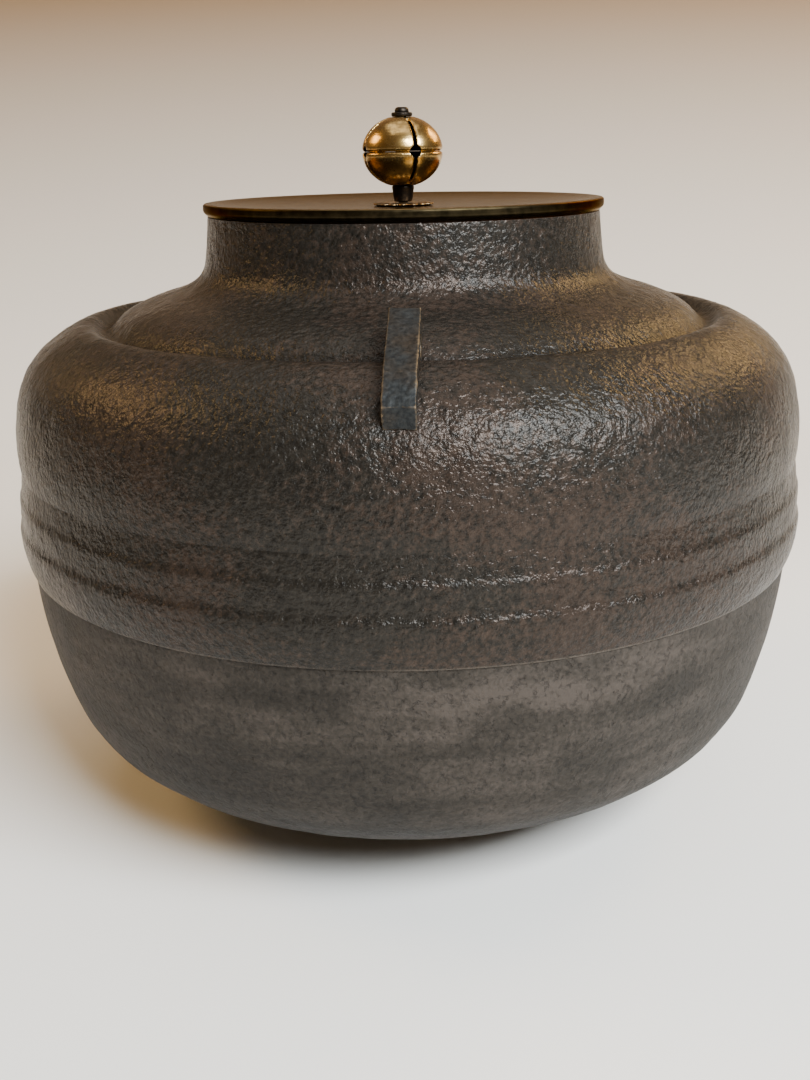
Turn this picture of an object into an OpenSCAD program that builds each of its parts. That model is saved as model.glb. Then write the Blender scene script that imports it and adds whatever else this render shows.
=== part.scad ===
// Tea-ceremony kettle: a wide cast iron body with two lugs, and a flat bronze lid with a hollow
// knob. The origin is the centre of the foot, +Z is up and the lugs stand on -Y and +Y.
// Outlines are lists of [radius, height] that are turned about the Z axis.

/* [Body] */
// Widest diameter, at the lowest band of the belt
body_d = 260; // [215:1:315]
// Height of the bowl, from the foot to the parting line of the mould
bowl_h = 86.8; // [72:0.2:105]
// Height of the shoulder, from the crease above the belt to the mouth
shoulder_h = 75.6; // [63:0.2:91]
// Diameter of the flat foot
foot_d = 76; // [62:1:92]
// Thickness of the cast wall
wall = 4; // [3.2:0.1:5]
// Lip of the upper casting over the bowl at the parting line
parting_lip = 0.5; // [0.3:0.1:0.8]

/* [Belt] */
// Height of the lowest band
lower_band_h = 14.2; // [11:0.1:17]
// Height of the middle band
middle_band_h = 9.5; // [7.5:0.1:11.5]
// Height of the top band, up to the crease
upper_band_h = 7.5; // [6:0.1:9]
// Step from each band to the one above it
band_step = 0.8; // [0.5:0.1:1.2]

/* [Mouth] */
// Outer diameter of the neck at the mouth
neck_d = 126.4; // [105:0.2:152]
// Thickness of the neck at the mouth
mouth_wall = 5; // [4:0.1:6]

/* [Shoulder groove] */
// Distance from the widest radius in to the groove
groove_inset = 31.4; // [26:0.1:37]
// Depth of the groove's corner below the mouth
groove_drop = 37.2; // [31:0.1:42]
// Height of the outer lip's corner above the groove's corner
groove_lip = 8.2; // [6.8:0.1:9.5]
// Height of the inner shoulder's corner above the groove's corner
groove_dome = 9.6; // [8:0.1:11.5]

/* [Lugs] */
// Width of each lug
lug_w = 8.6; // [7:0.1:10.4]
// Diameter of the eye that takes a lifting ring
eye_d = 6; // [5:0.1:7.2]
// Height of the eye above the groove's outer lip, so that a straight rod can pass
eye_lift = 0.1; // [0:0.05:0.5]
// Metal left over the eye
lug_metal = 2.25; // [1.8:0.05:2.8]
// Tilt of the lug's long top face, in degrees
lug_tilt = 25; // [21:1:29]
// Length of the long top face on the neck's side of the eye
heel_l = 10; // [8.3:0.1:12]
// Length of the long top face on the outer side of the eye
knee_l = 18.7; // [16:0.1:21]
// Length of the lug's short outer face
tip_l = 10.6; // [9:0.1:12]
// Tilt of the short outer face, in degrees
tip_tilt = 45; // [40:1:50]
// How far the outer end leans in from upright, in degrees
end_tilt = 18; // [14:1:22]

/* [Sounding plates] */
// Length of a plate
plate_l = 24; // [20:0.5:28]
// Width of a plate
plate_w = 10; // [8:0.5:12]
// Thickness of a plate
plate_t = 1.2; // [1:0.1:1.5]
// Distance of the plates' centres from the axis
plate_place = 20; // [17:0.5:23]
// Length of the lacquer bed under one end of a plate
bed_l = 8; // [6.5:0.5:10]
// Thickness of the lacquer bed
bed_t = 1.5; // [1.2:0.1:1.8]

/* [Lid] */
// Overhang of the lid past the neck, all round
lid_overhang = 1.3; // [0.5:0.1:2.5]
// Thickness of the lid at its rim
rim_t = 4; // [3.3:0.1:4.8]
// Depth of the dish in the lid's top
dish = 2; // [1.4:0.1:2.4]
// Bevel under the rim
rim_bevel = 1.6; // [1.2:0.1:2]
// Gap between the locating flange and the mouth, all round
flange_gap = 0.8; // [0.6:0.05:1]
// Height of the locating flange
flange_h = 9; // [7.5:0.1:11]
// Thickness of the locating flange
flange_t = 2; // [1.6:0.1:2.4]

/* [Knob] */
// Widest diameter of the hollow knob
knob_d = 26; // [22:0.2:31]
// Height of the knob between its two flats
knob_h = 21; // [17.6:0.2:25]
// Thickness of the knob's shell
knob_wall = 1.4; // [1.2:0.1:1.7]
// Width of the knob's flats past the spacer, all round
knob_flat_edge = 0.2; // [0.1:0.05:0.5]
// Number of upright slots
slot_count = 4; // [3:1:5]
// Width of a slot
slot_w = 1; // [0.8:0.1:1.2]
// Turn of the first slot away from the +X axis
slot_turn = 20; // [0:1:89]
// Diameter of the round hole where a slot meets the seam
hole_d = 3.6; // [3:0.1:4.3]
// Depth of the seam's groove
seam = 0.5; // [0.4:0.1:0.6]
// Height of the spacer under the knob
spacer_h = 5.1; // [4.2:0.1:6.1]
// Wall of the spacer at its foot
spacer_foot_wall = 1.35; // [1.1:0.05:1.6]
// Wall of the spacer at the knob
spacer_top_wall = 2.15; // [1.8:0.05:2.6]

/* [Rivet] */
// Radius of the rivet that holds the knob
rivet_r = 1.5; // [1.3:0.05:1.8]
// Running gap between the rivet and the knob's bores
rivet_gap = 0.05; // [0.02:0.01:0.08]
// End play of the knob on the rivet
end_play = 0.1; // [0.05:0.01:0.2]
// Overlap of the rivet's heads past its shank, all round
head_edge = 0.8; // [0.6:0.05:1]
// Height of the rivet's heads
head_h = 1.6; // [1.3:0.1:1.9]
// Width of the top washer's ring
top_washer_w = 1.85; // [1.5:0.05:2.1]
// Thickness of the top washer
top_washer_t = 1.3; // [1:0.1:1.5]
// Width of the ring of the washer under the lid
under_washer_w = 6.5; // [5.4:0.1:8]
// Thickness of the washer under the lid
under_washer_t = 1; // [0.8:0.1:1.2]
// Number of petals on the seat
petal_count = 16; // [12:1:16]
// Outer radius of the petalled seat
seat_r = 9; // [8:0.1:10.5]
// Thickness of the petalled seat
seat_t = 1.2; // [1:0.1:1.4]

/* [Hidden] */
$fn = 96;

// Steps in each curved stretch of an outline
curve_steps = 6;

body_r = body_d / 2;
neck_r = neck_d / 2;
foot_r = foot_d / 2;
mouth_r = neck_r - mouth_wall;
lower_band_z = bowl_h + lower_band_h;
middle_band_z = lower_band_z + middle_band_h;
crease_z = middle_band_z + upper_band_h;
mouth_z = crease_z + shoulder_h;
bulge_r = body_r - 2 * band_step;
groove_r = body_r - groove_inset;
groove_z = mouth_z - groove_drop;

lid_r = neck_r + lid_overhang;
rim_z = mouth_z + rim_t;
dish_z = rim_z - dish;
seat_z = dish_z + seat_t;
knob_z = seat_z + spacer_h + knob_h / 2;
washer_z = knob_z + knob_h / 2 + end_play;
bore_r = rivet_r + rivet_gap;
head_r = rivet_r + head_edge;
spacer_top_r = bore_r + spacer_top_wall;
knob_r = knob_d / 2;
knob_flat_r = spacer_top_r + knob_flat_edge;
eye_r = eye_d / 2;
plate_count = 3;

iron = [0.2, 0.18, 0.16];
dark_bronze = [0.24, 0.2, 0.13];
gold_bronze = [0.72, 0.53, 0.26];
lacquer = [0.07, 0.05, 0.04];

// Point at share t of the curve from a to b that bends towards corner c
function bend(a, c, b, t) = (1 - t) * (1 - t) * a + 2 * t * (1 - t) * c + t * t * b;

// Ends of the curve that rounds corner i of a chain of corners
function leg_in(c, i) = i == 1 ? c[0] : (c[i - 1] + c[i]) / 2;
function leg_out(c, i) = i == len(c) - 2 ? c[len(c) - 1] : (c[i] + c[i + 1]) / 2;

// Smooth line from the first corner of a chain to its last, rounding every corner between them
function smooth(c) = [
    for (i = [1 : len(c) - 2], k = [0 : curve_steps - 1])
        bend(leg_in(c, i), c[i], leg_out(c, i), k / curve_steps),
    c[len(c) - 1]
];

// Bowl, from the foot up to the parting line
bowl_line = smooth([
    [foot_r, 0],
    [body_r - 21.5, bowl_h * 0.18],
    [body_r - 4.4, bowl_h * 0.72],
    [body_r - 3.1, bowl_h]
]);

// Belt of three bands, each stepped in from the one below
belt_line = concat(
    smooth([
        [body_r - 3.1 + parting_lip, bowl_h],
        [body_r, bowl_h + lower_band_h * 0.4],
        [body_r, lower_band_z - band_step]
    ]),
    [
        [body_r - band_step, lower_band_z + band_step],
        [body_r - band_step, middle_band_z - band_step],
        [bulge_r, middle_band_z + band_step]
    ]
);

// Shoulder, from the crease over the widest bulge, the lip and the groove to the mouth
shoulder_line = smooth([
    [bulge_r - 0.7, crease_z],
    [bulge_r + 0.8, crease_z + shoulder_h * 0.126],
    [body_r - 6, crease_z + shoulder_h * 0.442],
    [groove_r + 4.2, groove_z + groove_lip],
    [groove_r, groove_z],
    [groove_r - 7.4, groove_z + groove_dome],
    [neck_r + 2.8, mouth_z - 21.2],
    [neck_r + 0.7, mouth_z - 9.6],
    [neck_r, mouth_z]
]);

outer_line = concat([[0, 0]], bowl_line, belt_line, shoulder_line);

// Inside of the casting, from the mouth down to the floor
inner_line = concat(
    smooth([
        [mouth_r, mouth_z],
        [mouth_r, mouth_z - 13],
        [neck_r - wall + 2.3, mouth_z - 25.8],
        [groove_r - 12.6, groove_z + groove_dome - wall],
        [groove_r - 4.1, groove_z + 2.4 - wall],
        [groove_r + 4.9, groove_z + 3.2 - wall],
        [body_r - 6.6 - wall, crease_z + shoulder_h * 0.385],
        [bulge_r - wall - 0.6, crease_z + shoulder_h * 0.12],
        [body_r - wall - 2, lower_band_z + wall],
        [body_r - wall - 5.2, bowl_h * 0.72],
        [body_r - wall - 21.2, bowl_h * 0.18 + wall],
        [foot_r, wall]
    ]),
    [[0, wall]]
);

// Highest point of the lip outside the groove
lip_top = max([for (p = shoulder_line) if (p[0] > groove_r && p[1] < groove_z + groove_lip) p[1]]);
eye_centre = [groove_r, lip_top + eye_lift + eye_r];

module body_solid() {
    rotate_extrude()
        polygon(concat(outer_line, [[0, mouth_z]]));
}

module kettle_body() {
    color(iron)
        rotate_extrude()
            polygon(concat(outer_line, inner_line));
}

// Direction of a face with this tilt, outwards, and its normal
function along(tilt) = [cos(tilt), -sin(tilt)];
function normal(tilt) = [sin(tilt), cos(tilt)];

// Arched bar across the groove with an eye through it, cut off where it meets the body
module lug(turn) {
    root = 3 * wall;
    crown = eye_centre + (eye_r + lug_metal) * normal(lug_tilt);
    heel = crown - heel_l * along(lug_tilt);
    knee = crown + knee_l * along(lug_tilt);
    tip = knee + tip_l * along(tip_tilt);
    bar = [heel, knee, tip, tip - root * normal(end_tilt), heel - root * normal(lug_tilt)];
    color(iron)
        rotate([0, 0, turn])
            difference() {
                translate([-lug_w / 2, 0, 0])
                    rotate([90, 0, 90])
                        linear_extrude(lug_w)
                            polygon(bar);
                translate([-lug_w, eye_centre[0], eye_centre[1]])
                    rotate([0, 90, 0])
                        cylinder(h = 2 * lug_w, r = eye_r);
                body_solid();
            }
}

// Places a child at plate number i, with X along the plate
module at_plate(i) {
    rotate([0, 0, 360 * i / plate_count])
        translate([0, plate_place, wall])
            children();
}

module sounding_plate(i) {
    color(iron)
        at_plate(i)
            translate([-plate_l / 2, -plate_w / 2, bed_t])
                cube([plate_l, plate_w, plate_t]);
}

module lacquer_bed(i) {
    color(lacquer)
        at_plate(i)
            translate([-plate_l / 2, -plate_w / 2, 0])
                cube([bed_l, plate_w, bed_t]);
}

// Flat lid with a shallow dish, a bevel under the rim and a hole for the rivet
module lid_plate() {
    flat_r = seat_r + 1;
    dish_line = smooth([
        [lid_r - 3, rim_z],
        [lid_r - 22, dish_z],
        [flat_r, dish_z]
    ]);
    color(dark_bronze)
        rotate_extrude()
            polygon(concat(
                [
                    [rivet_r, mouth_z],
                    [lid_r - rim_bevel, mouth_z],
                    [lid_r, mouth_z + rim_bevel],
                    [lid_r, rim_z - 0.4],
                    [lid_r - 0.4, rim_z]
                ],
                dish_line,
                [[rivet_r, dish_z]]
            ));
}

module ring(outer, inner, height) {
    difference() {
        cylinder(h = height, r = outer);
        translate([0, 0, -height])
            cylinder(h = 3 * height, r = inner);
    }
}

module lid_flange() {
    flange_r = mouth_r - flange_gap;
    color(dark_bronze)
        translate([0, 0, mouth_z - flange_h])
            ring(flange_r, flange_r - flange_t, flange_h);
}

module under_washer() {
    color(dark_bronze)
        translate([0, 0, mouth_z - under_washer_t])
            ring(rivet_r + under_washer_w, rivet_r, under_washer_t);
}

// Washer with round petals, between the lid and the spacer
module knob_seat() {
    petal_r = seat_r * sin(180 / petal_count);
    color(gold_bronze)
        translate([0, 0, dish_z])
            linear_extrude(seat_t)
                difference() {
                    union() {
                        circle(r = seat_r - petal_r);
                        for (i = [0 : petal_count - 1])
                            rotate(360 * i / petal_count)
                                translate([seat_r - petal_r, 0])
                                    circle(r = petal_r, $fn = 24);
                    }
                    circle(r = rivet_r);
                }
}

// Round-headed rivet through the whole stack, closed over the washer under the lid
module knob_rivet() {
    low = mouth_z - under_washer_t;
    high = washer_z + top_washer_t;
    color(lacquer)
        rotate_extrude()
            polygon(concat(
                [[0, low - head_h]],
                smooth([[head_r / 2, low - head_h], [head_r, low - head_h], [head_r, low]]),
                [[rivet_r, low], [rivet_r, high]],
                smooth([[head_r, high], [head_r, high + head_h], [head_r / 2, high + head_h]]),
                [[0, high + head_h]]
            ));
}

module top_washer() {
    edge = 0.3;
    outer = rivet_r + top_washer_w;
    top = washer_z + top_washer_t;
    color(lacquer)
        rotate_extrude()
            polygon([
                [rivet_r, washer_z],
                [outer - edge, washer_z],
                [outer, washer_z + edge],
                [outer, top - edge],
                [outer - edge, top],
                [rivet_r, top]
            ]);
}

module knob_spacer() {
    color(lacquer)
        translate([0, 0, seat_z])
            difference() {
                cylinder(h = spacer_h, r1 = bore_r + spacer_foot_wall, r2 = spacer_top_r);
                translate([0, 0, -spacer_h])
                    cylinder(h = 3 * spacer_h, r = bore_r);
            }
}

// Point of an upright half-oval at angle a above the seam
function dome_point(r, h, a) = [r * cos(a), h * sin(a)];

// Half height of the oval that has its flat at this height
function dome_height(r, flat) = flat / sqrt(1 - pow(knob_flat_r / r, 2));

// Upper half of the hollow knob, resting on the seam plane
module half_shell() {
    in_r = knob_r - knob_wall;
    out_h = dome_height(knob_r, knob_h / 2);
    in_h = out_h - knob_wall;
    in_flat = knob_h / 2 - knob_wall;
    out_end = acos(knob_flat_r / knob_r);
    in_end = asin(in_flat / in_h);
    first = asin(seam / out_h);
    difference() {
        rotate_extrude()
            polygon(concat(
                [[in_r, 0], [knob_r - seam, 0]],
                [for (k = [0 : 2 * curve_steps])
                    dome_point(knob_r, out_h, first + (out_end - first) * k / (2 * curve_steps))],
                [[bore_r, knob_h / 2], [bore_r, in_flat]],
                [for (k = [2 * curve_steps : -1 : 1])
                    dome_point(in_r, in_h, in_end * k / (2 * curve_steps))]
            ));
        for (i = [0 : slot_count - 1])
            rotate([0, 0, slot_turn + 360 * i / slot_count]) {
                translate([knob_flat_r + slot_w, -slot_w / 2, -knob_h / 2])
                    cube([knob_r, slot_w, knob_h]);
                rotate([0, 90, 0])
                    cylinder(h = knob_r + knob_wall, r = hole_d / 2);
            }
    }
}

module knob_upper_shell() {
    color(gold_bronze)
        translate([0, 0, knob_z])
            half_shell();
}

module knob_lower_shell() {
    color(gold_bronze)
        translate([0, 0, knob_z])
            mirror([0, 0, 1])
                half_shell();
}

kettle_body();
lug(180);  // lug_front
lug(0);  // lug_rear
sounding_plate(0);  // sounding_plate_1
sounding_plate(1);  // sounding_plate_2
sounding_plate(2);  // sounding_plate_3
lacquer_bed(0);  // lacquer_bed_1
lacquer_bed(1);  // lacquer_bed_2
lacquer_bed(2);  // lacquer_bed_3
lid_plate();
lid_flange();
under_washer();
knob_seat();
knob_rivet();
top_washer();
knob_spacer();
knob_lower_shell();
knob_upper_shell();
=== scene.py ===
# %% [markdown]
# # A tea-ceremony kettle
# The kettle is a wide iron casting with a flat bronze lid. The frame gives every size and place:
# this script builds the skins, the small fittings and their finishes around it.
# Everything is in metres, +Z is up, and the two lugs stand on -Y and +Y.

import math

import bpy
from mathutils import Matrix, Vector


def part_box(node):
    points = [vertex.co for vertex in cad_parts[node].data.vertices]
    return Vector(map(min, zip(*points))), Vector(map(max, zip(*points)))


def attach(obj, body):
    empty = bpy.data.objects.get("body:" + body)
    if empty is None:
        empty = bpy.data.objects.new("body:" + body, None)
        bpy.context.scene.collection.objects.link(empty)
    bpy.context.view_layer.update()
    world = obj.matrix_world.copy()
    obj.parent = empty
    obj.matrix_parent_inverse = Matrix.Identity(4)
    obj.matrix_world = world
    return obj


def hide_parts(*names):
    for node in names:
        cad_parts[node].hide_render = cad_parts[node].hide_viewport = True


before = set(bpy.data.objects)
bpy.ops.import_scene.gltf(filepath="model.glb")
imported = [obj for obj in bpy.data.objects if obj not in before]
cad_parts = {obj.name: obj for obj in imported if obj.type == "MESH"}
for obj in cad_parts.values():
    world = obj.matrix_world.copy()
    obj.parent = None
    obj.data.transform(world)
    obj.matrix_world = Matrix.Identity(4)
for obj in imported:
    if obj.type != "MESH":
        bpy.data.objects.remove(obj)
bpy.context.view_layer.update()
MM = 0.001
mouth_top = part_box("kettle_body")[1][2]
body_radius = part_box("kettle_body")[1][0]
print("frame loaded:", len(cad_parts), "nodes, mouth at", round(mouth_top / MM, 1), "mm")

# %% [markdown]
# ## The camera
# The viewer sits close to the kettle and looks a little down on it. A short distance with a
# moderate lens makes the near bulge loom and the lid look thin, so distance and lens are set
# together, and the kettle fills the frame's width.

# %% Camera
VIEW_TURN = math.radians(0.5)
VIEW_AIM = math.radians(0.2045)
VIEW_TILT = math.radians(17.59)
VIEW_ROLL = math.radians(-1.07)
VIEW_DISTANCE = 419.7 * MM
VIEW_HEIGHT = 214.5 * MM
LENS = 41.58


def add_camera():
    """Camera on a circle round the kettle's axis, turned a little clear of the front lug."""
    data = bpy.data.cameras.new("camera")
    data.lens = LENS
    camera = bpy.data.objects.new("camera", data)
    bpy.context.scene.collection.objects.link(camera)
    turn = Matrix.Rotation(VIEW_TURN + VIEW_AIM, 4, "Z")
    tilt = Matrix.Rotation(math.pi / 2 - VIEW_TILT, 4, "X")
    roll = Matrix.Rotation(VIEW_ROLL, 4, "Z")
    along = math.sin(VIEW_TURN) * VIEW_DISTANCE
    back = -math.cos(VIEW_TURN) * VIEW_DISTANCE
    place = Vector((along, back, VIEW_HEIGHT))
    camera.matrix_world = Matrix.Translation(place) @ turn @ tilt @ roll
    bpy.context.scene.camera = camera
    return camera


camera = add_camera()
print("camera", [round(v, 3) for v in camera.location])

# %% [markdown]
# ## Modelling helpers
# Most pieces were turned or cast round an axis. Such a piece is drawn once as a half outline and
# spun. The outlines come from the CAD mesh, so no size is written twice.

# %% Selection helpers
def pick(piece):
    """Makes one piece the only selected and active object."""
    bpy.ops.object.select_all(action="DESELECT")
    piece.select_set(True)
    bpy.context.view_layer.objects.active = piece


def name_piece(name):
    piece = bpy.context.object
    piece.name = piece.data.name = name
    return piece


def edit(piece, action="SELECT"):
    pick(piece)
    bpy.ops.object.mode_set(mode="EDIT")
    bpy.ops.mesh.select_all(action=action)


def done():
    bpy.ops.object.mode_set(mode="OBJECT")


def add_modifier(piece, kind, **settings):
    """Adds a modifier, sets it and applies it."""
    pick(piece)
    modifier = piece.modifiers.new(kind.lower(), kind)
    for key, value in settings.items():
        setattr(modifier, key, value)
    bpy.ops.object.modifier_apply(modifier=modifier.name)


def smooth_by_angle(piece, degrees=40):
    pick(piece)
    bpy.ops.object.shade_smooth_by_angle(angle=math.radians(degrees))


def triangles(piece):
    return sum(len(face.vertices) - 2 for face in piece.data.polygons)


# %% [markdown]
# ## Reading an outline
# A turned CAD node has a seam: a row of edges in the plane y = 0. Walking along that row gives
# the half outline, point by point.

# %% Outlines
TOUCH = 0.002 * MM


def cad_copy(node, name):
    """Merged copy of a CAD node's mesh as a new object."""
    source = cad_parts[node]
    piece = bpy.data.objects.new(name, source.data.copy())
    bpy.context.scene.collection.objects.link(piece)
    piece.data.materials.clear()
    edit(piece)
    bpy.ops.mesh.remove_doubles(threshold=TOUCH)
    done()
    return piece


def outline_of(node, start):
    """Half outline of a turned node as (radius, height), walked from the point nearest start."""
    piece = cad_copy(node, "outline")
    points = piece.data.vertices
    on_seam = {v.index for v in points if abs(v.co.y) < TOUCH and v.co.x > TOUCH}
    nearby = {i: [] for i in on_seam}
    for e in piece.data.edges:
        a, b = e.vertices
        if a in on_seam and b in on_seam:
            nearby[a].append(b)
            nearby[b].append(a)
    here = min(on_seam, key=lambda i: math.hypot(points[i].co.x - start[0], points[i].co.z - start[1]))
    walk = [here]
    left = on_seam - {here}
    while True:
        onward = [i for i in nearby[here] if i in left]
        if not onward:
            break
        here = min(onward, key=lambda i: (points[i].co - points[walk[-1]].co).length)
        walk.append(here)
        left.discard(here)
    line = [(points[i].co.x, points[i].co.z) for i in walk]
    bpy.data.objects.remove(piece)
    return line


# %% Outline of the casting
def split_body(line):
    """Splits the casting's outline into the outer skin and the inner wall, at the mouth."""
    top = max(height for radius, height in line)
    rim = [i for i, (radius, height) in enumerate(line) if height > top - TOUCH]
    return line[: rim[0] + 1], line[rim[-1]:]


def resampled(line, step):
    """The same line with points at even steps, its two ends kept."""
    lengths = [0.0]
    for a, b in zip(line, line[1:]):
        lengths.append(lengths[-1] + math.dist(a, b))
    count = max(2, math.ceil(lengths[-1] / step))
    points = []
    k = 0
    for i in range(count + 1):
        reach = lengths[-1] * i / count
        while k < len(line) - 2 and lengths[k + 1] < reach:
            k += 1
        share = (reach - lengths[k]) / (lengths[k + 1] - lengths[k])
        points.append(tuple(a + (b - a) * share for a, b in zip(line[k], line[k + 1])))
    return points


def softened(line, passes):
    """Rounds a line's corners a little: each pass pulls every inner point to its neighbours."""
    for _ in range(passes):
        inner = [
            tuple((a + 2 * b + c) / 4 for a, b, c in zip(line[i - 1], line[i], line[i + 1]))
            for i in range(1, len(line) - 1)
        ]
        line = [line[0]] + inner + [line[-1]]
    return line


def outline_gap(line, radius, height):
    """Distance from a point to an outline."""
    best = 1.0
    for (r0, h0), (r1, h1) in zip(line, line[1:]):
        along = (radius - r0) * (r1 - r0) + (height - h0) * (h1 - h0)
        share = max(0.0, min(1.0, along / max((r1 - r0) ** 2 + (h1 - h0) ** 2, 1e-12)))
        best = min(best, math.hypot(r0 + share * (r1 - r0) - radius, h0 + share * (h1 - h0) - height))
    return best


body_line = outline_of("kettle_body", (body_radius * 0.3, 0))
outer_line, inner_line = split_body(body_line)
parting = next(
    i for i, (a, b) in enumerate(zip(outer_line, outer_line[1:]))
    if a[1] > 0.2 * mouth_top and abs(a[1] - b[1]) < TOUCH and b[0] > a[0]
)
crease = next(
    i for i in range(parting + 2, len(outer_line) - 1)
    if outer_line[i][0] <= outer_line[i - 1][0] and outer_line[i][0] < outer_line[i + 1][0]
)
parting_height = outer_line[parting][1]
groove_radius = next(
    a[0] for a, b in zip(outer_line[crease + 2:], outer_line[crease + 3:])
    if a[1] > 0.7 * mouth_top and a[0] < 0.8 * body_radius and b[1] > a[1]
)
crease_height = outer_line[crease][1]
print("outer skin", len(outer_line), "points, inner wall", len(inner_line), "points")
print("parting line at", round(parting_height / MM, 1), "crease at", round(crease_height / MM, 1))

# %% [markdown]
# ## Turning a piece
# On the bench a spun shape comes from a sweep board dragged round the mould. Here a single point
# is extruded along the outline, and a Screw modifier turns the line round the axis, which is much
# quicker than the spin operator on a long line. A line that comes back to its start makes a closed
# ring, and one that starts and ends on the axis makes a closed disc.

# %% Turned pieces
def turned(name, line, turns):
    """Turns a half outline of (radius, height) points round the Z axis, as on a sweep board."""
    bpy.ops.object.select_all(action="DESELECT")
    bpy.ops.mesh.primitive_plane_add(size=MM, location=(line[0][0], 0, line[0][1]))
    piece = name_piece(name)
    edit(piece)
    bpy.ops.mesh.merge(type="CENTER")
    for a, b in zip(line, line[1:]):
        bpy.ops.mesh.extrude_region_move(
            TRANSFORM_OT_translate={"value": (b[0] - a[0], 0, b[1] - a[1])}
        )
    done()
    bpy.ops.object.transform_apply(location=True, rotation=True, scale=True)
    add_modifier(
        piece, "SCREW", axis="Z", angle=2 * math.pi, steps=turns, render_steps=turns,
        use_merge_vertices=True, merge_threshold=TOUCH,
    )
    edit(piece)
    bpy.ops.mesh.remove_doubles(threshold=TOUCH)
    bpy.ops.mesh.normals_make_consistent(inside=False)
    done()
    bpy.ops.object.shade_smooth()
    return piece


def crossing(line, height):
    """Where a line that runs downwards passes a height."""
    for (r0, h0), (r1, h1) in zip(line, line[1:]):
        if h1 <= height < h0:
            return (r0 + (r1 - r0) * (h0 - height) / (h0 - h1), height)
    return line[-1]


def cast_section(name, low, high, skin_step, wall_step, passes=3):
    """One closed ring of the casting between two heights: outer skin up, inner wall down."""
    skin = [p for p in outer_line if low - TOUCH < p[1] < high + TOUCH]
    if low > 0 and skin[0][1] < low + TOUCH and skin[1][1] < low + TOUCH:
        skin = skin[1:]
    if high < mouth_top and skin[-1][1] > high - TOUCH and skin[-2][1] > high - TOUCH:
        skin = skin[:-1]
    wall = [p for p in inner_line if low + TOUCH < p[1] < high - TOUCH]
    wall = [inner_line[0] if high == mouth_top else crossing(inner_line, high)] + wall
    if low == 0:
        skin = [(0, 0)] + skin
        wall = wall + [(0, wall[-1][1])]
    else:
        wall = wall + [crossing(inner_line, low)]
    skin = softened(resampled(skin, skin_step), passes)
    wall = softened(resampled(wall, wall_step), 1)
    loop = skin + wall if low == 0 else skin + wall + [skin[0]]
    piece = turned(name, loop, BODY_TURNS)
    print(name, len(skin), "skin rows,", len(wall), "wall rows,", triangles(piece), "triangles")
    return piece


BODY_TURNS = 600
SHOULDER_STEP = 1.1 * MM
BELT_STEP = 0.45 * MM
BELT_PASSES = 6
BOWL_STEP = 1.5 * MM
WALL_STEP = 4 * MM
BOWL_WALL_STEP = 6 * MM
shoulder = cast_section("kettle_shoulder", crease_height, mouth_top, SHOULDER_STEP, WALL_STEP)
belt = cast_section("kettle_belt", parting_height, crease_height, BELT_STEP, WALL_STEP, BELT_PASSES)
bowl = cast_section("kettle_bowl", 0, parting_height, BOWL_STEP, BOWL_WALL_STEP)

# %% [markdown]
# ## The cast skin
# Sand and clay leave iron with low dents and a grain of small pits, and the skin is never as even
# as turned metal. The dents and lumps are real shape: displacement moves the skin along its
# normals by a cloud texture. The finest grain is left to the finish.
# A weight keeps the skin still at the mouth, where the lid seats, and along the mould's joints.

# %% Cast roughness
def cloud(name, size, depth=2):
    texture = bpy.data.textures.new(name, "CLOUDS")
    texture.noise_scale = size
    texture.noise_depth = depth
    texture.noise_basis = "ORIGINAL_PERLIN"
    return texture


WEIGHT_STEPS = 20


def weigh(piece, rule):
    """Vertex weights by a rule of (radius, height), kept in the group named skin."""
    group = piece.vertex_groups.new(name="skin")
    levels = {}
    for vertex in piece.data.vertices:
        weight = rule(math.hypot(vertex.co.x, vertex.co.y), vertex.co.z)
        level = round(max(0.0, min(1.0, weight)) * WEIGHT_STEPS)
        levels.setdefault(level, []).append(vertex.index)
    for level, indices in levels.items():
        group.add(indices, level / WEIGHT_STEPS, "REPLACE")


def displace(piece, texture, strength):
    add_modifier(
        piece, "DISPLACE", texture=texture, texture_coords="LOCAL", strength=strength,
        mid_level=0.5, vertex_group="skin" if "skin" in piece.vertex_groups else "",
    )


JOINT_FADE = 1.5 * MM
DENT_DEPTH = 0.7 * MM
SHOULDER_LUMPS = 0.5 * MM
SHOULDER_GRAIN = 0.3 * MM
BELT_LUMPS = 0.25 * MM
BELT_GRAIN = 0.35 * MM
BOWL_LUMPS = 0.25 * MM
broad_dents = cloud("broad_dents", 28 * MM)
sand_lumps = cloud("sand_lumps", 6 * MM, 3)
coarse_grain = cloud("coarse_grain", 2.6 * MM, 2)


def skin_weight(radius, height):
    """One on the open skin, falling to nothing at the mould's joints, the foot and the mouth."""
    edges = [abs(height - parting_height), abs(height - crease_height), mouth_top - height, height]
    return min(edges) / JOINT_FADE


for piece in (shoulder, belt, bowl):
    weigh(piece, skin_weight)
    displace(piece, broad_dents, DENT_DEPTH)
displace(shoulder, sand_lumps, SHOULDER_LUMPS)
displace(shoulder, coarse_grain, SHOULDER_GRAIN)
displace(belt, sand_lumps, BELT_LUMPS)
displace(belt, coarse_grain, BELT_GRAIN)
displace(bowl, sand_lumps, BOWL_LUMPS)
for piece in (shoulder, belt, bowl):
    smooth_by_angle(piece, 50)
    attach(piece, "kettle")
    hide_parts("kettle_body")

# %% [markdown]
# ## The lugs
# Each lug is an arched bar cast on across the groove, with an eye for a lifting ring. It starts as
# a copy of the CAD bar. Its edges are rounded, and a fine voxel remesh gives it enough faces to
# carry the roughness of the casting. Lugs are set in the mould by hand, so it stands a little askew.

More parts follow.
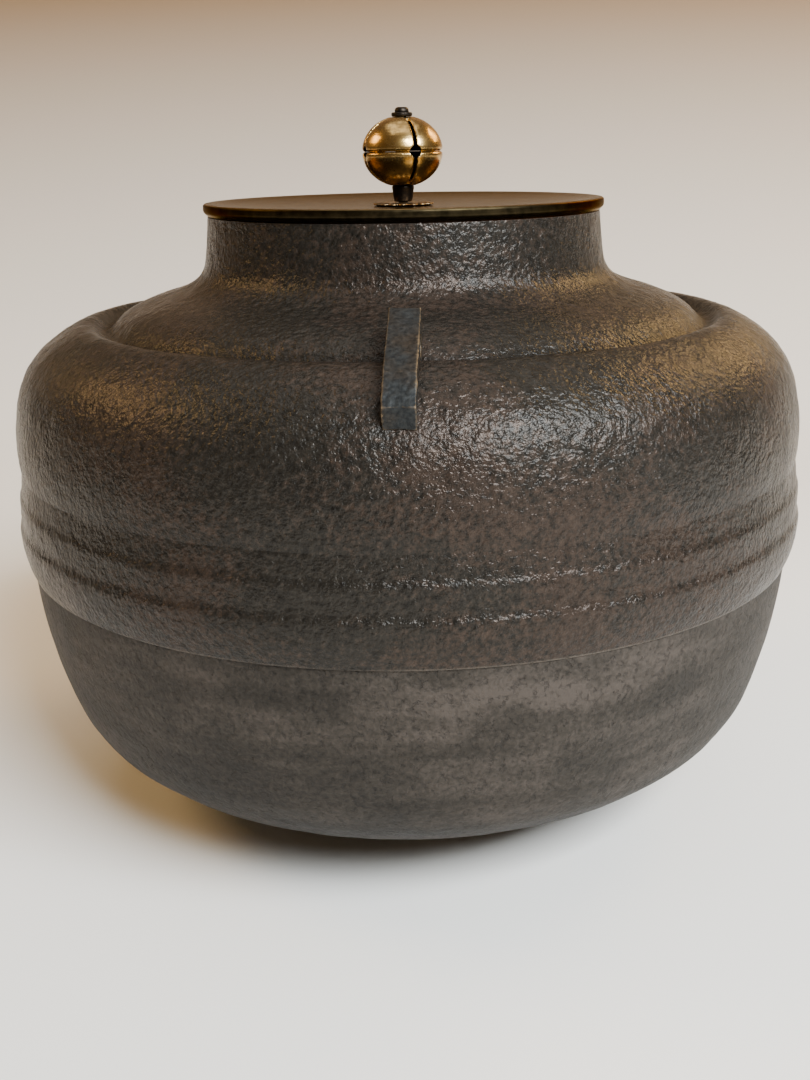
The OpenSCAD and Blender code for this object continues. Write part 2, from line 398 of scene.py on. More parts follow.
# %% Rough solids
def roughened(node, name, voxel, edge, smooths):
    """Copy of a CAD node with rounded edges and an even, fine mesh."""
    piece = cad_copy(node, name)
    edit(piece)
    bpy.ops.mesh.dissolve_limited(angle_limit=math.radians(2))
    done()
    add_modifier(piece, "BEVEL", width=edge, segments=3, limit_method="ANGLE")
    add_modifier(piece, "REMESH", mode="VOXEL", voxel_size=voxel, adaptivity=0)
    add_modifier(piece, "SMOOTH", iterations=smooths, factor=0.5)
    bpy.ops.object.shade_smooth()
    return piece


def finish_piece(piece, node, body):
    """Puts a piece on the body it rides on, hides the CAD node it stands for and prints its triangle
    count.
    """
    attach(piece, body)
    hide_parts(node)
    print(piece.name, triangles(piece), "triangles")


# %% Lugs
LUG_SKEW = math.radians(3)
LUG_VOXEL = 0.3 * MM
LUG_EDGE = 0.5 * MM
LUG_DENT_DEPTH = 1.0 * MM
LUG_GRAIN_DEPTH = 0.4 * MM
lug_dents = cloud("lug_dents", 7 * MM)
lug_grain = cloud("lug_grain", 1.6 * MM)


def add_lug(node, name):
    """A lug with worn edges, set a little out of true as such lugs are."""
    piece = roughened(node, name, LUG_VOXEL, LUG_EDGE, 3)
    low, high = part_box(node)
    edit(piece)
    bpy.ops.transform.rotate(value=LUG_SKEW, orient_axis="Z", center_override=(low + high) / 2)
    done()
    displace(piece, lug_dents, LUG_DENT_DEPTH)
    displace(piece, lug_grain, LUG_GRAIN_DEPTH)
    bpy.ops.object.shade_smooth()
    finish_piece(piece, node, "kettle")
    return piece


front_lug = add_lug("lug_front", "front_lug")
rear_lug = add_lug("lug_rear", "rear_lug")

# %% [markdown]
# ## The sounding plates
# Three small iron plates are stuck to the bottom with lacquer, and make the water sing as it
# heats. They are roughly hammered, so each gets low dents. The lacquer is a rounded blob.

# %% Sounding plates and their lacquer
PLATE_VOXEL = 0.35 * MM
PLATE_EDGE = 0.3 * MM
PLATE_DENT_DEPTH = 0.35 * MM
BED_VOXEL = 0.3 * MM
BED_EDGE = 0.6 * MM
BED_DENT_DEPTH = 0.4 * MM
plate_dents = cloud("plate_dents", 5 * MM)
plates = []
beds = []
for number in (1, 2, 3):
    plate = roughened(f"sounding_plate_{number}", f"plate_{number}", PLATE_VOXEL, PLATE_EDGE, 2)
    displace(plate, plate_dents, PLATE_DENT_DEPTH)
    finish_piece(plate, f"sounding_plate_{number}", "kettle")
    plates.append(plate)
    bed = roughened(f"lacquer_bed_{number}", f"bed_{number}", BED_VOXEL, BED_EDGE, 8)
    displace(bed, plate_dents, BED_DENT_DEPTH)
    finish_piece(bed, f"lacquer_bed_{number}", "kettle")
    beds.append(bed)

# %% [markdown]
# ## The lid
# A cast bronze disc with a shallow dish. A mirror finish shows every flat, so the disc is turned
# from a finely stepped outline with soft corners. The flange under it is a plain brazed ring, and
# the knob's foot, its rivet and the two washers are small turned pieces as well.

# %% Turned fittings
def rounded_loop(line, step, passes):
    """A closed outline at even steps, its corners softened."""
    loop = resampled(line + [line[0]], step)[:-1]
    for _ in range(passes):
        loop = [
            tuple((a + 2 * b + c) / 4 for a, b, c in zip(before, here, after))
            for before, here, after in zip(loop[-1:] + loop[:-1], loop, loop[1:] + loop[:1])
        ]
    return loop + [loop[0]]


def turned_node(node, name, step, passes, turns, body):
    """Ring turned from a CAD node's own outline, which is a closed loop."""
    low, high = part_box(node)
    line = outline_of(node, (0, low.z))
    piece = turned(name, rounded_loop(line, step, passes), turns)
    smooth_by_angle(piece, 50)
    finish_piece(piece, node, body)
    return piece


LID_TURNS = 256
RING_TURNS = 192
SMALL_TURNS = 64
LID_STEP = 0.4 * MM
RING_STEP = 0.5 * MM
SMALL_STEP = 0.2 * MM
WASHER_STEP = 0.12 * MM
lid_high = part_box("lid_plate")[1]
lid = turned_node("lid_plate", "lid_disc", LID_STEP, 1, LID_TURNS, "lid")
flange = turned_node("lid_flange", "lid_ring", RING_STEP, 1, RING_TURNS, "lid")
under = turned_node(
    "under_washer", "washer_under", SMALL_STEP, 1, SMALL_TURNS, "lid"
)
washer = turned_node("top_washer", "washer_top", WASHER_STEP, 1, SMALL_TURNS, "lid")
spacer = turned_node("knob_spacer", "knob_foot", SMALL_STEP, 8, SMALL_TURNS, "knob")

# %% Rivet
RIVET_STEP = 0.15 * MM
RIVET_TURNS = 48
rivet_low, rivet_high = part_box("knob_rivet")
rivet_line = outline_of("knob_rivet", (0, rivet_low.z))
rivet_line = [(0, rivet_low.z)] + rivet_line + [(0, rivet_high.z)]
rivet = turned("rivet", softened(resampled(rivet_line, RIVET_STEP), 2), RIVET_TURNS)
finish_piece(rivet, "knob_rivet", "lid")

# %% [markdown]
# ## The petalled seat
# A chrysanthemum washer: a round disc with a ring of round petals, each slightly domed. One petal
# is modelled from a sphere, copied round the disc, and the whole is fused by a voxel remesh.

# %% Seat
SEAT_PETALS = 16
SEAT_VOXEL = 0.12 * MM
DISC_SHARE = 0.8
PETAL_LENGTH = 1.5
seat_low, seat_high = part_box("knob_seat")
seat_radius = seat_high.x
seat_thick = seat_high.z - seat_low.z
petal_radius = seat_radius * math.sin(math.pi / SEAT_PETALS)


def add_seat():
    """A disc and its ring of petals, fused into one piece."""
    bpy.ops.object.select_all(action="DESELECT")
    bpy.ops.mesh.primitive_cylinder_add(
        vertices=96, radius=seat_radius - petal_radius, depth=DISC_SHARE * seat_thick,
        location=(0, 0, seat_low.z + DISC_SHARE * seat_thick / 2),
    )
    seat = name_piece("petal_seat")
    bpy.ops.object.select_all(action="DESELECT")
    bpy.ops.mesh.primitive_uv_sphere_add(
        segments=24, ring_count=12, radius=1,
        location=(seat_radius - petal_radius, 0, seat_low.z + seat_thick / 2),
        scale=(PETAL_LENGTH * petal_radius, petal_radius, seat_thick / 2),
    )
    petal = name_piece("petal")
    bpy.ops.object.transform_apply(location=True, rotation=True, scale=True)
    petals = [petal]
    for k in range(1, SEAT_PETALS):
        twin = petal.copy()
        twin.data = petal.data.copy()
        twin.rotation_euler.z = 2 * math.pi * k / SEAT_PETALS
        bpy.context.scene.collection.objects.link(twin)
        petals.append(twin)
    bpy.ops.object.select_all(action="DESELECT")
    for petal in petals:
        petal.select_set(True)
    seat.select_set(True)
    bpy.context.view_layer.objects.active = seat
    bpy.ops.object.join()
    bpy.ops.object.transform_apply(location=True, rotation=True, scale=True)
    add_modifier(seat, "REMESH", mode="VOXEL", voxel_size=SEAT_VOXEL, adaptivity=0)
    add_modifier(seat, "SMOOTH", iterations=3, factor=0.5)
    bpy.ops.object.shade_smooth()
    return seat


seat = add_seat()
finish_piece(seat, "knob_seat", "lid")

# %% [markdown]
# ## The knob
# A hollow ball of two thin cups, each slit into four lobes, with a small opening where the slits
# cross the seam. The cups are copied from the CAD shells. The lobes of a real one are pressed, so
# their edges roll in: a weight that rises towards the slits lets a displacement thin them there.

# %% Knob cups
SLIT_TURN = math.radians(20)
SLITS = 4
ROLL_WIDTH = 1.5 * MM
ROLL_DEPTH = 0.4 * MM
CUP_VOXEL = 0.22 * MM
CUP_EDGE = 0.12 * MM
knob_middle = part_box("knob_upper_shell")[0].z


def slit_gap(point):
    """Distance from a point to the nearest slit, or to the seam between the cups."""
    around = math.atan2(point.y, point.x) - SLIT_TURN
    share = 2 * math.pi / SLITS
    off = abs((around + share / 2) % share - share / 2)
    across = math.hypot(point.x, point.y) * math.sin(min(off, math.pi / 2))
    return min(across, abs(point.z - knob_middle))


def add_cup(node, name):
    """A pressed cup whose outer face rolls in towards the slits and the seam."""
    piece = roughened(node, name, CUP_VOXEL, CUP_EDGE, 3)
    group = piece.vertex_groups.new(name="edge")
    levels = {}
    middle = Vector((0, 0, knob_middle))
    for vertex in piece.data.vertices:
        looks_out = max(0.0, vertex.normal.dot((vertex.co - middle).normalized()))
        weight = looks_out * max(0.0, 1 - slit_gap(vertex.co) / ROLL_WIDTH) ** 2
        levels.setdefault(round(weight * WEIGHT_STEPS), []).append(vertex.index)
    for level, indices in levels.items():
        group.add(indices, level / WEIGHT_STEPS, "REPLACE")
    add_modifier(piece, "DISPLACE", strength=-ROLL_DEPTH, mid_level=0, vertex_group="edge")
    add_modifier(piece, "SMOOTH", iterations=4, factor=0.5)
    finish_piece(piece, node, "knob")
    return piece


upper_cup = add_cup("knob_upper_shell", "cup_upper")
lower_cup = add_cup("knob_lower_shell", "cup_lower")

# %% [markdown]
# ## Building a finish
# Every finish is a Principled shader fed by noise in object space, so it holds still on the piece
# and needs no image. Small helpers keep the node trees short: they place a noise of a given grain
# size in metres, turn a value into a colour ramp, mix two colours, work out a number from two
# others, stack bumps, and measure height, radius and closeness to a line.

# %% Material helpers
def new_finish(name, metallic=0.0):
    """A material with its shader and its object coordinates."""
    finish = bpy.data.materials.new(name)
    finish.use_nodes = True
    tree = finish.node_tree
    shader = tree.nodes["Principled BSDF"]
    shader.inputs["Metallic"].default_value = metallic
    place = tree.nodes.new("ShaderNodeTexCoord").outputs["Object"]
    return finish, tree, shader, place


def noise(tree, place, size, detail=3.0, rough=0.5, stretch=None):
    """Noise whose grain is about size metres wide, drawn out by stretch along X, Y and Z."""
    if stretch:
        mapping = tree.nodes.new("ShaderNodeMapping")
        mapping.inputs["Scale"].default_value = stretch
        tree.links.new(place, mapping.inputs["Vector"])
        place = mapping.outputs["Vector"]
    node = tree.nodes.new("ShaderNodeTexNoise")
    node.inputs["Scale"].default_value = 0.5 / size
    node.inputs["Detail"].default_value = detail
    node.inputs["Roughness"].default_value = rough
    tree.links.new(place, node.inputs["Vector"])
    return node.outputs["Fac"]


def ramp(tree, value, *stops):
    """Colour ramp over a value; each stop is (position, colour or grey level)."""
    node = tree.nodes.new("ShaderNodeValToRGB")
    bar = node.color_ramp.elements
    while len(bar) < len(stops):
        bar.new(0.5)
    for element, (position, colour) in zip(bar, stops):
        element.position = position
        element.color = (*colour, 1) if isinstance(colour, tuple) else (colour, colour, colour, 1)
    tree.links.new(value, node.inputs["Fac"])
    return node.outputs["Color"]


NOISE_LOW = 0.3
NOISE_HIGH = 0.7


def spread(tree, value, low, high):
    """Ramp from low to high over the part of its range that a noise mostly fills."""
    return ramp(tree, value, (NOISE_LOW, low), (NOISE_HIGH, high))


def blend(tree, share, low, high):
    """Mix of two colours, each a socket or a plain (r, g, b)."""
    # A Mix node holds its colour sockets behind those for numbers and vectors.
    node = tree.nodes.new("ShaderNodeMix")
    node.data_type = "RGBA"
    for socket, value in ((node.inputs[0], share), (node.inputs[6], low), (node.inputs[7], high)):
        if isinstance(value, tuple):
            socket.default_value = (*value, 1)
        elif isinstance(value, float):
            socket.default_value = value
        else:
            tree.links.new(value, socket)
    return node.outputs[2]


def reckon(tree, operation, first, second=0.5, clamp=False):
    """Math node on sockets or numbers."""
    node = tree.nodes.new("ShaderNodeMath")
    node.operation = operation
    node.use_clamp = clamp
    for socket, value in zip(node.inputs, (first, second)):
        if isinstance(value, (int, float)):
            socket.default_value = value
        else:
            tree.links.new(value, socket)
    return node.outputs[0]


def bump(tree, height, depth, under=None):
    """Bump of a given depth in metres, on top of another one."""
    node = tree.nodes.new("ShaderNodeBump")
    node.inputs["Distance"].default_value = depth
    tree.links.new(height, node.inputs["Height"])
    if under:
        tree.links.new(under, node.inputs["Normal"])
    return node.outputs["Normal"]


def connect(tree, shader, colour, roughness, normal):
    """Wires a colour, a roughness and a bump to the shader."""
    tree.links.new(colour, shader.inputs["Base Color"])
    tree.links.new(roughness, shader.inputs["Roughness"])
    tree.links.new(normal, shader.inputs["Normal"])


def height_of(tree, place):
    """Height above the floor."""
    split = tree.nodes.new("ShaderNodeSeparateXYZ")
    tree.links.new(place, split.inputs["Vector"])
    return split.outputs["Z"]


def radius_of(tree, place):
    """Distance from the kettle's axis."""
    flat = tree.nodes.new("ShaderNodeVectorMath")
    flat.operation = "MULTIPLY"
    flat.inputs[1].default_value = (1, 1, 0)
    tree.links.new(place, flat.inputs[0])
    reach = tree.nodes.new("ShaderNodeVectorMath")
    reach.operation = "LENGTH"
    tree.links.new(flat.outputs[0], reach.inputs[0])
    return reach.outputs["Value"]


def near(tree, value, centre, width):
    """One where a value is at centre, falling to nothing at width to either side."""
    off = reckon(tree, "ABSOLUTE", reckon(tree, "SUBTRACT", value, centre))
    return reckon(tree, "SUBTRACT", 1.0, reckon(tree, "DIVIDE", off, width), clamp=True)


# %% [markdown]
# ## The iron
# The upper half is rubbed with lacquer and tea on the hot iron, which leaves a dark, half glossy
# skin with a fine orange peel. Rust comes through in broad warm patches, the groove gets painted
# shade, and a painted highlight runs as a thin pale line along the mould's joint. The bowl is duller
# and pitted by the fire.

# %% Iron
IRON_SHINE = 0.5
IRON_METAL = 0.35
IRON_RIM = (0.28, 0.29, 0.30)


def iron_finish(name):
    """Dark iron under an old skin: part metal, with a rim tint that keeps the outline from glaring."""
    finish, tree, shader, place = new_finish(name, IRON_METAL)
    shader.inputs["Specular IOR Level"].default_value = IRON_SHINE
    shader.inputs["Specular Tint"].default_value = (*IRON_RIM, 1)
    return finish, tree, shader, place


# %% Upper iron
DARK_LACQUER = (0.008, 0.007, 0.006)
WORN_LACQUER = (0.030, 0.026, 0.021)
DARK_RUST = (0.013, 0.010, 0.008)
PALE_RUST = (0.046, 0.032, 0.024)
GROOVE_SHADE_TONE = (0.003, 0.0025, 0.002)
GROOVE_SHADE_SHARE = 0.85
GROOVE_SHADE_WIDTH = 3.5 * MM
GROOVE_SHADE_SHIFT = 0.8 * MM
GROOVE_RISE = 25 * MM
JOINT_HIGHLIGHT_TONE = (0.100, 0.085, 0.070)
JOINT_HIGHLIGHT_WIDTH = 0.7 * MM
PEEL_DEPTH = 0.50 * MM
LUMP_DEPTH = 0.55 * MM
FINE_DEPTH = 0.10 * MM


def upper_iron():
    """Lacquered iron with rust patches, painted shade in the groove and a painted highlight line at
    the mould's joint.
    """
    finish, tree, shader, place = iron_finish("rubbed_iron")
    broad = noise(tree, place, 24 * MM, 5, 0.6)
    speck = noise(tree, place, 0.9 * MM, 5, 0.75)
    shares = reckon(tree, "ADD", broad, reckon(tree, "MULTIPLY", speck, 0.8))
    patches = ramp(tree, shares, (0.84, 0.0), (1.02, 1.0))
    dark = spread(tree, speck, DARK_LACQUER, WORN_LACQUER)
    rust = spread(tree, speck, DARK_RUST, PALE_RUST)
    skin = blend(tree, patches, dark, rust)
    # Painted shade: a near-black ring darkens the groove just inside the lip, where shadow falls.
    groove_shade_ring = near(tree, radius_of(tree, place), groove_radius - GROOVE_SHADE_SHIFT, GROOVE_SHADE_WIDTH)
    high = reckon(tree, "GREATER_THAN", height_of(tree, place), crease_height + GROOVE_RISE)
    groove_shade = reckon(tree, "MULTIPLY", reckon(tree, "MULTIPLY", groove_shade_ring, high), GROOVE_SHADE_SHARE)
    skin = blend(tree, groove_shade, skin, GROOVE_SHADE_TONE)
    # Painted highlight: a thin pale line along the parting lip, broken into patches.
    joint_highlight = near(tree, height_of(tree, place), parting_height, JOINT_HIGHLIGHT_WIDTH)
    highlight_shows = reckon(tree, "MULTIPLY", joint_highlight, ramp(tree, broad, (0.42, 0.15), (0.62, 0.9)))
    colour = blend(tree, highlight_shows, skin, JOINT_HIGHLIGHT_TONE)
    gloss = noise(tree, place, 9 * MM, 3, 0.5)
    roughness = spread(tree, gloss, 0.19, 0.34)
    peel = noise(tree, place, 0.6 * MM, 2, 0.5)
    grain = noise(tree, place, 0.22 * MM, 2, 0.5)
    lumps = noise(tree, place, 1.6 * MM, 2, 0.5)
    coarse = bump(tree, peel, PEEL_DEPTH, bump(tree, lumps, LUMP_DEPTH))
    normal = bump(tree, grain, FINE_DEPTH, coarse)
    connect(tree, shader, colour, roughness, normal)
    return finish


# %% Lower iron
BARE_DARK = (0.014, 0.012, 0.010)
BARE_GREY = (0.033, 0.028, 0.023)
BARE_PALE = (0.064, 0.053, 0.045)
PIT_TONE = (0.008, 0.007, 0.006)
PIT_DEPTH = 0.2 * MM
BARE_LUMP_DEPTH = 0.35 * MM
BARE_GRAIN_DEPTH = 0.30 * MM
LEVEL_BANDS = (0.25, 0.25, 1.6)


def lower_iron():
    """Bare iron, dull and pitted, in faint level bands."""
    finish, tree, shader, place = iron_finish("bare_iron")
    broad = noise(tree, place, 22 * MM, 5, 0.6)
    bands = noise(tree, place, 9 * MM, 3, 0.5, LEVEL_BANDS)
    speck = noise(tree, place, 0.7 * MM, 3, 0.65)
    layered = reckon(tree, "MULTIPLY", broad, bands)
    tone = reckon(tree, "ADD", layered, reckon(tree, "MULTIPLY", speck, 0.35))
    skin = ramp(tree, tone, (0.30, BARE_DARK), (0.43, BARE_GREY), (0.57, BARE_PALE))
    pit = noise(tree, place, 1.0 * MM, 5, 0.72)
    pits = ramp(tree, pit, (0.32, 1.0), (0.46, 0.0))
    where = ramp(tree, bands, (0.42, 0.05), (0.60, 0.50))
    colour = blend(tree, reckon(tree, "MULTIPLY", pits, where), skin, PIT_TONE)
    roughness = spread(tree, broad, 0.48, 0.62)
    lumps = bump(tree, noise(tree, place, 2 * MM, 2), BARE_LUMP_DEPTH)
    pitted = bump(tree, reckon(tree, "SUBTRACT", 1.0, pits), PIT_DEPTH, lumps)
    normal = bump(tree, speck, BARE_GRAIN_DEPTH, pitted)
    connect(tree, shader, colour, roughness, normal)
    return finish


# %% Inside of the kettle
INSIDE_GREY = (0.020, 0.015, 0.013)
INSIDE_BROWN = (0.045, 0.018, 0.009)
INSIDE_ORANGE = (0.155, 0.066, 0.028)


def inner_iron():
    """Iron that has stood with water in it: dull, brown and uneven."""
    finish, tree, shader, place = new_finish("rusty_inside")
    broad = noise(tree, place, 15 * MM, 5, 0.65)
    speck = noise(tree, place, 1.5 * MM, 3, 0.6)
    brown = spread(tree, speck, INSIDE_BROWN, INSIDE_ORANGE)
    shares = ramp(tree, broad, (0.40, 0.0), (0.62, 1.0))
    colour = blend(tree, shares, INSIDE_GREY, brown)
    roughness = spread(tree, broad, 0.6, 0.85)
    normal = bump(tree, speck, 0.3 * MM, bump(tree, broad, 0.6 * MM))
    connect(tree, shader, colour, roughness, normal)
    return finish


# %% Lug iron
LUG_DARK = (0.007, 0.008, 0.009)
LUG_GREY = (0.026, 0.028, 0.028)
LUG_DARK_RUST = (0.010, 0.008, 0.006)
LUG_PALE_RUST = (0.036, 0.026, 0.018)
LUG_WORN_EDGE = (0.150, 0.105, 0.060)


def lug_iron():
    """Cool grey iron with faint rust, its corners rubbed warm by the lifting rings."""
    finish, tree, shader, place = iron_finish("worn_lug_iron")
    broad = noise(tree, place, 5 * MM, 4, 0.6)
    speck = noise(tree, place, 0.6 * MM, 3, 0.6)
    grey = spread(tree, speck, LUG_DARK, LUG_GREY)
    rust = spread(tree, speck, LUG_DARK_RUST, LUG_PALE_RUST)
    patches = ramp(tree, broad, (0.42, 0.0), (0.70, 1.0))
    skin = blend(tree, patches, grey, rust)
    edges = tree.nodes.new("ShaderNodeNewGeometry").outputs["Pointiness"]
    worn = reckon(tree, "ADD", edges, reckon(tree, "MULTIPLY", broad, 0.06))
    wear = ramp(tree, worn, (0.545, 0.0), (0.610, 1.0))
    colour = blend(tree, wear, skin, LUG_WORN_EDGE)
    roughness = spread(tree, broad, 0.42, 0.60)
    normal = bump(tree, speck, 0.15 * MM)
    connect(tree, shader, colour, roughness, normal)
    return finish


# %% Plate iron
PLATE_DARK = (0.030, 0.020, 0.015)
PLATE_BROWN = (0.110, 0.048, 0.022)
PLATE_ORANGE = (0.180, 0.080, 0.035)


def plate_iron():
    """Thin plates that always lie in water: rust all over."""
    finish, tree, shader, place = new_finish("rusted_plate_iron", 0.1)
    broad = noise(tree, place, 4 * MM, 4, 0.6)
    speck = noise(tree, place, 0.9 * MM, 3, 0.6)
    colour = ramp(tree, broad, (0.35, PLATE_DARK), (0.50, PLATE_BROWN), (0.65, PLATE_ORANGE))
    roughness = spread(tree, speck, 0.65, 0.9)
    normal = bump(tree, speck, 0.25 * MM)
    connect(tree, shader, colour, roughness, normal)
    return finish


# %% [markdown]
# ## Lacquer, bronze and dark fittings
# Old bronze is a metal first: its colour sits in the reflection. Its patina is a browner, duller
# film, thick in the hollows and rubbed off where hands and cloths touch. The lid is the darkest:
# a thin painted highlight runs round its top edge.

# %% Lacquer
LACQUER_DARK = (0.010, 0.007, 0.005)
LACQUER_BROWN = (0.040, 0.022, 0.012)


def old_lacquer():
    """Dark brown lacquer, cooked dull in places."""
    finish, tree, shader, place = new_finish("old_lacquer")
    broad = noise(tree, place, 3 * MM, 3, 0.5)
    colour = spread(tree, broad, LACQUER_DARK, LACQUER_BROWN)
    roughness = spread(tree, broad, 0.25, 0.5)
    normal = bump(tree, noise(tree, place, 1 * MM), 0.1 * MM)
    connect(tree, shader, colour, roughness, normal)
    return finish


# %% Bronze fittings
def bronze(name, film, metal, low, high, patch, scratch):
    """Patinated bronze: film and metal colours, least and most roughness, patch size, scratches."""
    finish, tree, shader, place = new_finish(name, 1.0)
    broad = noise(tree, place, patch, 5, 0.6)
    speck = noise(tree, place, 0.25 * patch, 3, 0.6)
    mixed = reckon(tree, "MULTIPLY", reckon(tree, "ADD", broad, speck), 0.5)
    shares = ramp(tree, mixed, (0.40, 0.0), (0.60, 1.0))
    colour = blend(tree, shares, film, metal)
    roughness = ramp(tree, mixed, (0.35, high), (0.65, low))
    fine = noise(tree, place, 0.6 * MM, 2, 0.5)
    normal = bump(tree, fine, scratch, bump(tree, broad, 4 * scratch))
    connect(tree, shader, colour, roughness, normal)
    return finish


SCRATCH = 0.01 * MM
KNOB_FILM = (0.29, 0.185, 0.065)
KNOB_METAL = (0.62, 0.42, 0.16)
SEAT_FILM = (0.12, 0.08, 0.045)
SEAT_METAL = (0.34, 0.23, 0.12)
BLACK_FILM = (0.012, 0.010, 0.009)
BLACK_METAL = (0.035, 0.028, 0.022)
knob_finish = bronze("knob_bronze_rubbed", KNOB_FILM, KNOB_METAL, 0.18, 0.32, 5 * MM, SCRATCH)
seat_finish = bronze("seat_bronze_aged", SEAT_FILM, SEAT_METAL, 0.28, 0.45, 2.5 * MM, SCRATCH)
dark_finish = bronze("fitting_blackened", BLACK_FILM, BLACK_METAL, 0.35, 0.55, 2 * MM, SCRATCH)

# %% Lid bronze
LID_RIM_TINT = (0.50, 0.40, 0.26)
LID_FILM_DARK = (0.040, 0.029, 0.017)
LID_FILM_PALE = (0.062, 0.045, 0.026)
LID_METAL_DARK = (0.062, 0.045, 0.026)
LID_METAL_PALE = (0.095, 0.069, 0.038)
LID_SIDE_DARK = (0.010, 0.008, 0.004)
LID_SIDE_PALE = (0.032, 0.024, 0.012)
LID_EDGE_HIGHLIGHT = (0.34, 0.24, 0.12)
EDGE_HIGHLIGHT_INSET = 0.45 * MM
EDGE_HIGHLIGHT_WIDTH = 0.30 * MM
EDGE_HIGHLIGHT_DEPTH = 0.5 * MM


def lid_bronze():
    """Dark polished top, a duller rim, and a thin painted highlight round the top edge."""
    finish, tree, shader, place = new_finish("lid_bronze_polished", 1.0)
    shader.inputs["Specular Tint"].default_value = (*LID_RIM_TINT, 1)
    broad = noise(tree, place, 12 * MM, 5, 0.6)
    speck = noise(tree, place, 1.2 * MM, 3, 0.6)
    film = spread(tree, speck, LID_FILM_DARK, LID_FILM_PALE)
    metal = spread(tree, speck, LID_METAL_DARK, LID_METAL_PALE)
    top = blend(tree, ramp(tree, broad, (0.40, 0.0), (0.60, 1.0)), film, metal)
    reach = radius_of(tree, place)
    rim = ramp(tree, reckon(tree, "DIVIDE", reach, lid_high.x), (0.990, 0.0), (0.996, 1.0))
    side = spread(tree, speck, LID_SIDE_DARK, LID_SIDE_PALE)
    # Painted highlight: a thin bright ring just inside the lid's top edge.
    rubbed = near(tree, reach, lid_high.x - EDGE_HIGHLIGHT_INSET, EDGE_HIGHLIGHT_WIDTH)
    on_top = near(tree, height_of(tree, place), lid_high.z, EDGE_HIGHLIGHT_DEPTH)
    line = reckon(tree, "MULTIPLY", rubbed, on_top)
    colour = blend(tree, line, blend(tree, rim, top, side), LID_EDGE_HIGHLIGHT)
    dull = ramp(tree, rim, (0.0, 0.20), (1.0, 0.34))
    roughness = reckon(tree, "ADD", dull, reckon(tree, "MULTIPLY", speck, 0.08))
    normal = bump(tree, speck, 0.02 * MM, bump(tree, broad, 0.03 * MM))
    connect(tree, shader, colour, roughness, normal)
    return finish


lid_finish = lid_bronze()

# %% [markdown]
# ## Dressing the pieces
# A piece gets one material, but the casting has two: the outside and the rusty inside. A face
# belongs to the inside if it lies nearer to the inner wall's outline than to the skin's. The knob's
# cups are dark inside, where no cloth rubs them.

# %% Assign the finishes
def dress(piece, finish):
    """Gives a piece its only finish."""
    piece.data.materials.clear()
    piece.data.materials.append(finish)


CELL = 0.5 * MM


def dress_inside(piece, finish):
    """Gives a second finish to the faces that lie nearer to the inner wall than to the skin."""
    piece.data.materials.append(finish)
    found = {}
    for face in piece.data.polygons:
        radius = math.hypot(face.center.x, face.center.y)
        height = face.center.z
        cell = (round(radius / CELL), round(height / CELL))
        if cell not in found:
            inside = outline_gap(inner_line, radius, height) < outline_gap(outer_line, radius, height)
            found[cell] = int(inside)
        face.material_index = found[cell]


def dress_hollow(piece, finish):
    """Gives a second finish to the faces of a cup that look into the ball."""
    piece.data.materials.append(finish)
    middle = Vector((0, 0, knob_middle))
    for face in piece.data.polygons:
        face.material_index = int((face.center - middle).dot(face.normal) < 0)


rubbed = upper_iron()
bare = lower_iron()
rusty = inner_iron()
for piece in (shoulder, belt):
    dress(piece, rubbed)
    dress_inside(piece, rusty)
dress(bowl, bare)
dress_inside(bowl, rusty)
lug_finish = lug_iron()
for piece in (front_lug, rear_lug):
    dress(piece, lug_finish)
plate_finish = plate_iron()
for piece in plates:
    dress(piece, plate_finish)
lacquer_finish = old_lacquer()
for piece in beds:
    dress(piece, lacquer_finish)
for piece in (lid, flange):
    dress(piece, lid_finish)
for piece in (seat, under):
    dress(piece, seat_finish)
for piece in (rivet, washer, spacer):
    dress(piece, dark_finish)
for piece in (upper_cup, lower_cup):
    dress(piece, knob_finish)
    dress_hollow(piece, dark_finish)
print(len(bpy.data.materials), "materials")

# %% [markdown]
# ## Stage and light
# A pale sweep runs from the floor up behind the kettle and turns warm as it rises, so no horizon
# cuts the picture. One window-like light stands high on the viewer's right, two weak warm ones
# light the sides from behind, and a weak one hangs overhead. Area lights give the long soft
# highlights that iron needs to show its grain.

# %% Stage
SWEEP_HALF = 1.6
SWEEP_FRONT = -1.2
SWEEP_BACK = 1.0
SWEEP_TOP = 1.6
SWEEP_BEND = 0.6
FLOOR_TONE = (0.84, 0.83, 0.80)
WALL_TONE = (0.24, 0.16, 0.09)
FLOOR_END = 0.02
WALL_START = 0.36


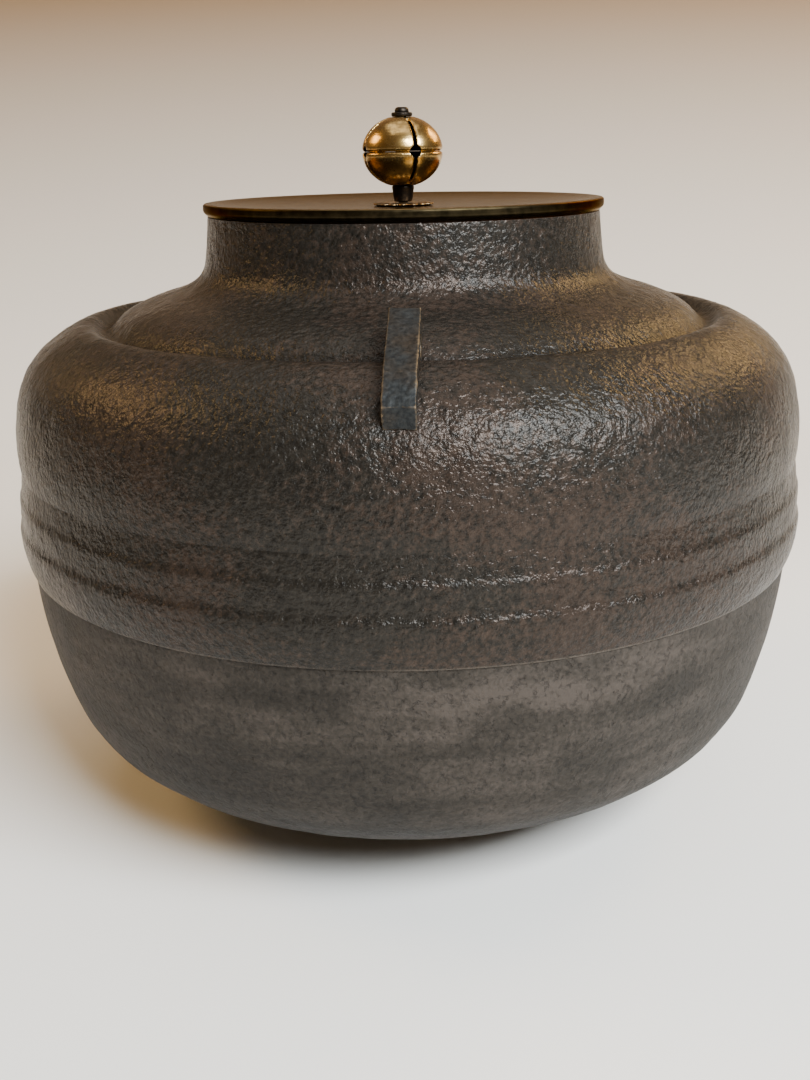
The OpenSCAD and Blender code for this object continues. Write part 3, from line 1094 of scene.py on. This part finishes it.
def add_stage():
    """Floor and back wall in one sheet, with a large round bend between them."""
    bpy.ops.object.select_all(action="DESELECT")
    bpy.ops.mesh.primitive_plane_add(size=1, location=(0, 0, 0))
    sheet = name_piece("stage_sweep")
    sheet.scale = (2 * SWEEP_HALF, SWEEP_BACK - SWEEP_FRONT, 1)
    sheet.location = (0, (SWEEP_BACK + SWEEP_FRONT) / 2, 0)
    bpy.ops.object.transform_apply(location=True, rotation=True, scale=True)
    edit(sheet, "DESELECT")
    bpy.ops.mesh.select_mode(type="EDGE")
    done()
    for e in sheet.data.edges:
        e.select = all(sheet.data.vertices[i].co.y > SWEEP_BACK - MM for i in e.vertices)
    bpy.ops.object.mode_set(mode="EDIT")
    bpy.ops.mesh.extrude_region_move(TRANSFORM_OT_translate={"value": (0, 0, SWEEP_TOP)})
    done()
    add_modifier(
        sheet, "BEVEL", width=SWEEP_BEND, segments=24, limit_method="ANGLE", affect="EDGES"
    )
    bpy.ops.object.shade_smooth()
    finish, tree, shader, place = new_finish("stage_pale")
    rise = height_of(tree, place)
    tone = ramp(tree, rise, (FLOOR_END, FLOOR_TONE), (WALL_START, WALL_TONE))
    tree.links.new(tone, shader.inputs["Base Color"])
    shader.inputs["Roughness"].default_value = 0.8
    dress(sheet, finish)
    print("stage:", sheet.name)


add_stage()


# %% Lights
def add_area(name, place, aim, width, tall, watts, colour):
    """Soft box at a place, turned to face a point."""
    bpy.ops.object.light_add(type="AREA", location=place)
    lamp = bpy.context.object
    lamp.name = lamp.data.name = name
    lamp.data.shape = "RECTANGLE"
    lamp.data.size = width
    lamp.data.size_y = tall
    lamp.data.energy = watts
    lamp.data.color = colour
    lamp.rotation_euler = (Vector(aim) - Vector(place)).to_track_quat("-Z", "Y").to_euler()
    return lamp


AIM_HEIGHT = 0.15
KETTLE_AIM = (0, 0, AIM_HEIGHT)
DAYLIGHT = (0.92, 0.97, 1.0)
LAMPLIGHT = (1.0, 0.62, 0.24)
CEILING = (1.0, 0.96, 0.90)
WINDOW_WATTS = 50
FILL_WATTS = 7


def around(turn, lift, reach):
    """Place at an angle from the viewer's side, an elevation and a distance."""
    turn, lift = math.radians(turn), math.radians(lift)
    flat = reach * math.cos(lift)
    return (math.sin(turn) * flat, -math.cos(turn) * flat, AIM_HEIGHT + reach * math.sin(lift))


add_area("window", around(36, 37, 1.25), KETTLE_AIM, 0.85, 0.45, WINDOW_WATTS, DAYLIGHT)
add_area("warm_right", around(128, 30, 1.3), KETTLE_AIM, 0.5, 0.4, FILL_WATTS, LAMPLIGHT)
add_area("warm_left", around(-100, 34, 1.3), KETTLE_AIM, 0.5, 0.4, FILL_WATTS, LAMPLIGHT)
add_area("overhead", (0, 0.1, 1.5), KETTLE_AIM, 1.2, 1.2, FILL_WATTS, CEILING)

ROOM_COLOUR = (0.80, 0.56, 0.32, 1)
ROOM_STRENGTH = 0.2
world = bpy.data.worlds.new("studio")
bpy.context.scene.world = world
world.use_nodes = True
room = world.node_tree.nodes["Background"].inputs
room["Color"].default_value = ROOM_COLOUR
room["Strength"].default_value = ROOM_STRENGTH
